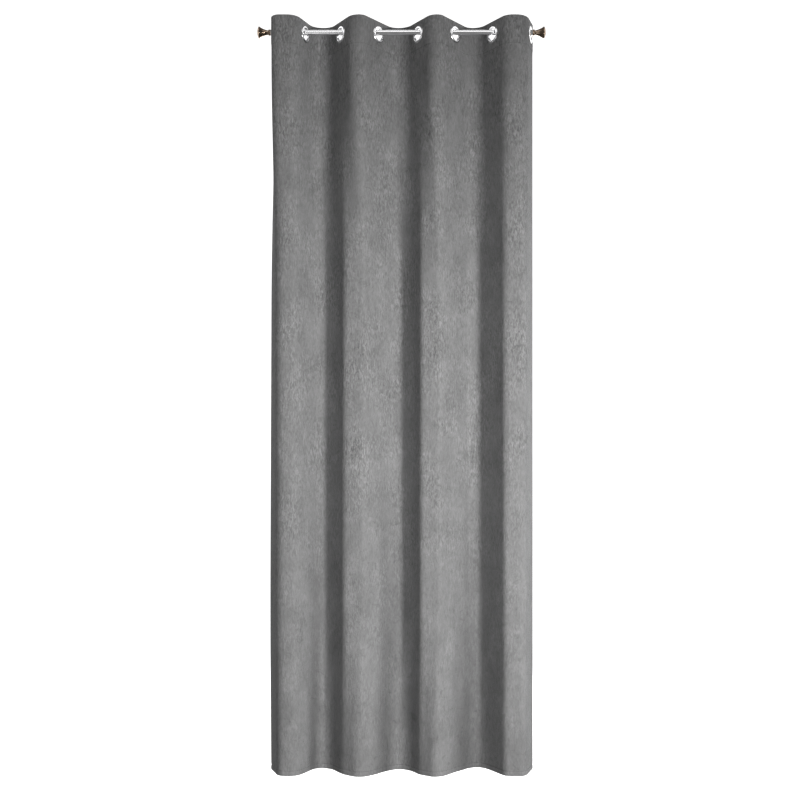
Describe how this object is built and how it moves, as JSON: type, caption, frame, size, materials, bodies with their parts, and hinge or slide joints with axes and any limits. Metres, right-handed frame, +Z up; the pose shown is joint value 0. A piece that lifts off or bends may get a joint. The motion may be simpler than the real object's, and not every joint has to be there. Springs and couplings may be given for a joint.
{
  "type": "fabric room curtain panel",
  "caption": "Eyelet-top grey velvet curtain panel hanging in even folds on a slim metal rod with trumpet finials.",
  "frame": {"origin": "on the rod's axis, midway between the ends of the tube", "axes": "+X along the rod to the right, -Y towards the room, +Z up"},
  "size_m": [0.964, 0.1234, 2.5],
  "materials": {
    "curtain_cloth": "soft matt velvet with a fine crushed pile",
    "tape": "stiff woven tape",
    "eyelet_metal": "satin",
    "rod_metal": "satin",
    "finial_bronze": "antique bronze, satin",
    "plug_plastic": "moulded"
  },
  "bodies": {
    "rod": {"rod_tube": "rod_metal"},
    "finial_left": {"finial_left": "finial_bronze", "finial_plug_left": "plug_plastic"},
    "finial_right": {"finial_right": "finial_bronze", "finial_plug_right": "plug_plastic"},
    "edge_left": {"heading_0": "curtain_cloth", "tape_0": "tape", "drop_0": "curtain_cloth", "eyelet_front_1": "eyelet_metal", "eyelet_back_1": "eyelet_metal"},
    "fold_1": {"heading_1": "curtain_cloth", "tape_1": "tape", "drop_1": "curtain_cloth"},
    "fold_2": {"heading_2": "curtain_cloth", "tape_2": "tape", "drop_2": "curtain_cloth", "eyelet_front_2": "eyelet_metal", "eyelet_back_2": "eyelet_metal"},
    "fold_3": {"heading_3": "curtain_cloth", "tape_3": "tape", "drop_3": "curtain_cloth", "eyelet_front_3": "eyelet_metal", "eyelet_back_3": "eyelet_metal"},
    "fold_4": {"heading_4": "curtain_cloth", "tape_4": "tape", "drop_4": "curtain_cloth", "eyelet_front_4": "eyelet_metal", "eyelet_back_4": "eyelet_metal"},
    "fold_5": {"heading_5": "curtain_cloth", "tape_5": "tape", "drop_5": "curtain_cloth", "eyelet_front_5": "eyelet_metal", "eyelet_back_5": "eyelet_metal"},
    "fold_6": {"heading_6": "curtain_cloth", "tape_6": "tape", "drop_6": "curtain_cloth", "eyelet_front_6": "eyelet_metal", "eyelet_back_6": "eyelet_metal"},
    "fold_7": {"heading_7": "curtain_cloth", "tape_7": "tape", "drop_7": "curtain_cloth", "eyelet_front_7": "eyelet_metal", "eyelet_back_7": "eyelet_metal"},
    "fold_8": {"heading_8": "curtain_cloth", "tape_8": "tape", "drop_8": "curtain_cloth", "eyelet_front_8": "eyelet_metal", "eyelet_back_8": "eyelet_metal"}
  },
  "joints": [
    {"name": "finial_left_pull", "type": "slide", "parent": "rod", "child": "finial_left", "axis": [-1, 0, 0], "range_m": [0, 0.05]},
    {"name": "finial_right_pull", "type": "slide", "parent": "rod", "child": "finial_right", "axis": [1, 0, 0], "range_m": [0, 0.05]},
    {"name": "swing", "type": "hinge", "parent": "rod", "child": "edge_left", "pos_m": [0, 0, 0], "axis": [1, 0, 0], "range_deg": [-15, 15]},
    {"name": "gather", "type": "hinge", "parent": "edge_left", "child": "fold_1", "pos_m": [-0.42913, -0.02878, 0], "axis": [0, 0, -1], "range_deg": [0, 30]},
    {"name": "crest_1", "type": "hinge", "parent": "fold_1", "child": "fold_2", "pos_m": [-0.37795, -0.062, 0], "axis": [0, 0, -1], "range_deg": [-60, 0]},
    {"name": "crest_2", "type": "hinge", "parent": "fold_2", "child": "fold_3", "pos_m": [-0.2618, 0.058, 0], "axis": [0, 0, -1], "range_deg": [0, 60]},
    {"name": "crest_3", "type": "hinge", "parent": "fold_3", "child": "fold_4", "pos_m": [-0.13965, -0.062, 0], "axis": [0, 0, -1], "range_deg": [-60, 0]},
    {"name": "crest_4", "type": "hinge", "parent": "fold_4", "child": "fold_5", "pos_m": [-0.01065, 0.058, 0], "axis": [0, 0, -1], "range_deg": [0, 60]},
    {"name": "crest_5", "type": "hinge", "parent": "fold_5", "child": "fold_6", "pos_m": [0.1171, -0.062, 0], "axis": [0, 0, -1], "range_deg": [-60, 0]},
    {"name": "crest_6", "type": "hinge", "parent": "fold_6", "child": "fold_7", "pos_m": [0.2411, 0.058, 0], "axis": [0, 0, -1], "range_deg": [0, 60]},
    {"name": "crest_7", "type": "hinge", "parent": "fold_7", "child": "fold_8", "pos_m": [0.36665, -0.062, 0], "axis": [0, 0, -1], "range_deg": [-60, 0]}
  ],
  "couplings": [
    {"joint": "crest_1", "follows": "gather", "ratio": -2},
    {"joint": "crest_2", "follows": "gather", "ratio": 2},
    {"joint": "crest_3", "follows": "gather", "ratio": -2},
    {"joint": "crest_4", "follows": "gather", "ratio": 2},
    {"joint": "crest_5", "follows": "gather", "ratio": -2},
    {"joint": "crest_6", "follows": "gather", "ratio": 2},
    {"joint": "crest_7", "follows": "gather", "ratio": -2}
  ]
}
